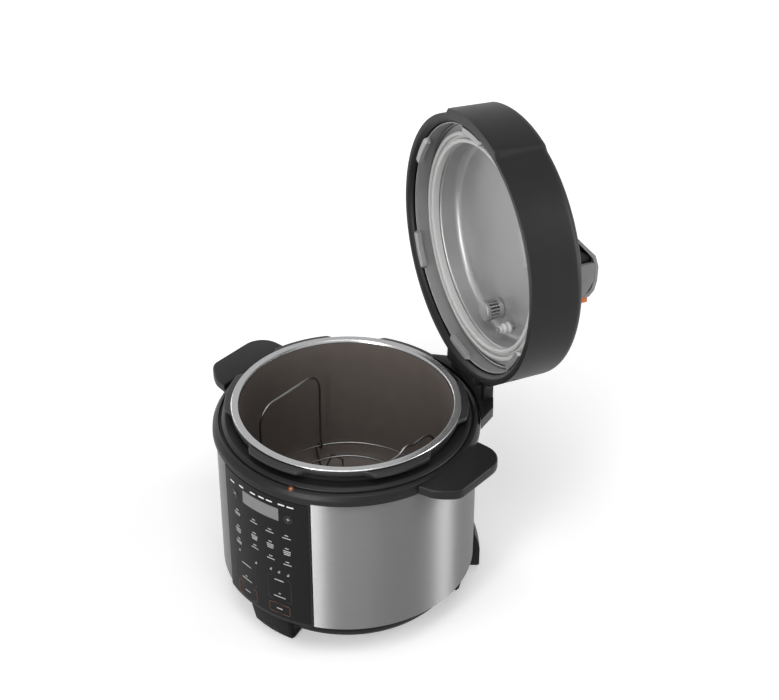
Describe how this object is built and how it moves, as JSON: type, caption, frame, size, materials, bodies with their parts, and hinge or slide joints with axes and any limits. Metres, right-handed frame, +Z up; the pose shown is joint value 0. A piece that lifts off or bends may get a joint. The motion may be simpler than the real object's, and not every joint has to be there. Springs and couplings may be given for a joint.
{
  "type": "electric pressure cooker",
  "caption": "Round countertop pressure cooker: steel body with control panel, lift-out pot, wire steaming rack and a hinged lid that turns to lock.",
  "frame": {"origin": "on the cooker's vertical axis at the floor", "axes": "+Z up, control panel faces -Y, lid hinge at the back right, 65 degrees from +X towards +Y"},
  "size_m": [0.3794, 0.3934, 0.5252],
  "materials": {
    "black_plastic": "satin black moulded plastic",
    "band_steel": "fine brushed stainless steel",
    "bright_steel": "polished steel wire",
    "liner_steel": "satin pressed stainless steel",
    "lip_metal": "dark grey satin coated aluminium",
    "pot_metal": "dark graphite non-stick coating",
    "raw_aluminium": "machined",
    "panel_gloss": "smooth dark film with pale symbols",
    "display_grey": "clear window over a grey display",
    "handle_grey": "satin grey plastic",
    "orange": "orange plastic",
    "seal_silicone": "translucent silicone",
    "red_silicone": "red silicone",
    "rubber_black": "black rubber",
    "board_green": "green circuit board",
    "board_dark": "dark component bodies",
    "ceramic": "cream heat-resistant moulding",
    "contact_brass": "brass"
  },
  "bodies": {
    "base": {"bottom_cover": "black_plastic", "rubber_feet": "rubber_black", "steel_band": "band_steel", "top_ring": "black_plastic", "hinge_bracket": "black_plastic", "hinge_pin": "bright_steel", "outer_pot": "lip_metal", "heating_plate": "raw_aluminium", "heating_element": "liner_steel", "sensor_guide": "ceramic", "pressure_switch": "ceramic", "thermal_fuse": "ceramic", "power_board": "board_green", "board_parts": "board_dark", "panel_housing": "black_plastic", "panel_overlay": "panel_gloss", "display_lens": "display_grey", "display_module": "board_dark", "display_board": "board_green", "power_inlet": "black_plastic", "inlet_pins": "contact_brass", "base_screws": "bright_steel"},
    "sensor": {"sensor_cap": "raw_aluminium", "sensor_spring": "bright_steel"},
    "pot": {"inner_pot": "pot_metal"},
    "rack": {"rack_rings": "bright_steel", "rack_legs": "bright_steel"},
    "rack_handle_left": {"rack_handle_left": "bright_steel"},
    "rack_handle_right": {"rack_handle_right": "bright_steel"},
    "lid_carrier": {"lid_carrier": "black_plastic"},
    "lid": {"lid_cover": "black_plastic", "lid_liner": "liner_steel", "seal_wire": "bright_steel", "sealing_ring": "seal_silicone", "steam_filter": "liner_steel", "valve_seat": "ceramic", "handle_core": "black_plastic", "lid_handle": "handle_grey", "lever_pin": "bright_steel"},
    "release_lever": {"release_lever": "handle_grey"},
    "release_button": {"release_button": "orange"},
    "steam_valve": {"steam_valve": "black_plastic"},
    "float_valve": {"float_valve": "liner_steel", "float_seal": "red_silicone"}
  },
  "joints": [
    {"name": "sensor_press", "type": "slide", "parent": "base", "child": "sensor", "axis": [0, 0, 1], "range_m": [-0.002, 0], "stiffness_N_per_m": 1200, "springref_m": 0.004, "deforming": ["sensor_spring"]},
    {"name": "pot_lift", "type": "slide", "parent": "base", "child": "pot", "axis": [0, 0, 1], "range_m": [0, 0.186]},
    {"name": "rack_lift", "type": "slide", "parent": "pot", "child": "rack", "axis": [0, 0, 1], "range_m": [0, 0.1973]},
    {"name": "rack_handle_left_fold", "type": "hinge", "parent": "rack", "child": "rack_handle_left", "pos_m": [-0.08094, 0, 0.1085], "axis": [0, -1, 0], "range_deg": [-83.5, 0]},
    {"name": "rack_handle_right_fold", "type": "hinge", "parent": "rack", "child": "rack_handle_right", "pos_m": [0.08094, 0, 0.1085], "axis": [0, 1, 0], "range_deg": [-73, 0]},
    {"name": "lid_hinge", "type": "hinge", "parent": "base", "child": "lid_carrier", "pos_m": [0.06212, 0.13323, 0.2338], "axis": [-0.9063, 0.4226, 0], "range_deg": [-91, 0]},
    {"name": "lid_twist", "type": "hinge", "parent": "lid_carrier", "child": "lid", "pos_m": [0.05666, 0.12151, 0.38105], "axis": [-0.4226, -0.9062, 0.0175], "range_deg": [-25, 0]},
    {"name": "release_press", "type": "slide", "parent": "lid", "child": "release_button", "axis": [0.4226, 0.9062, -0.0175], "range_m": [-0.0022, 0], "stiffness_N_per_m": 500, "springref_m": 0.002},
    {"name": "lever_rock", "type": "hinge", "parent": "lid", "child": "release_lever", "pos_m": [0.11611, 0.15317, 0.3246], "axis": [-0.4702, 0.2356, 0.8505], "range_deg": [-2.41, 0]},
    {"name": "steam_release", "type": "slide", "parent": "lid", "child": "steam_valve", "axis": [-0.4226, -0.9062, 0.0175], "range_m": [-0.0022, 0]},
    {"name": "float_rise", "type": "slide", "parent": "lid", "child": "float_valve", "axis": [-0.4226, -0.9062, 0.0175], "range_m": [-0.004, 0]}
  ],
  "couplings": [
    {"joint": "lever_rock", "follows": "release_press", "rad_per_m": 19.116},
    {"joint": "steam_release", "follows": "release_press", "ratio": 1}
  ]
}
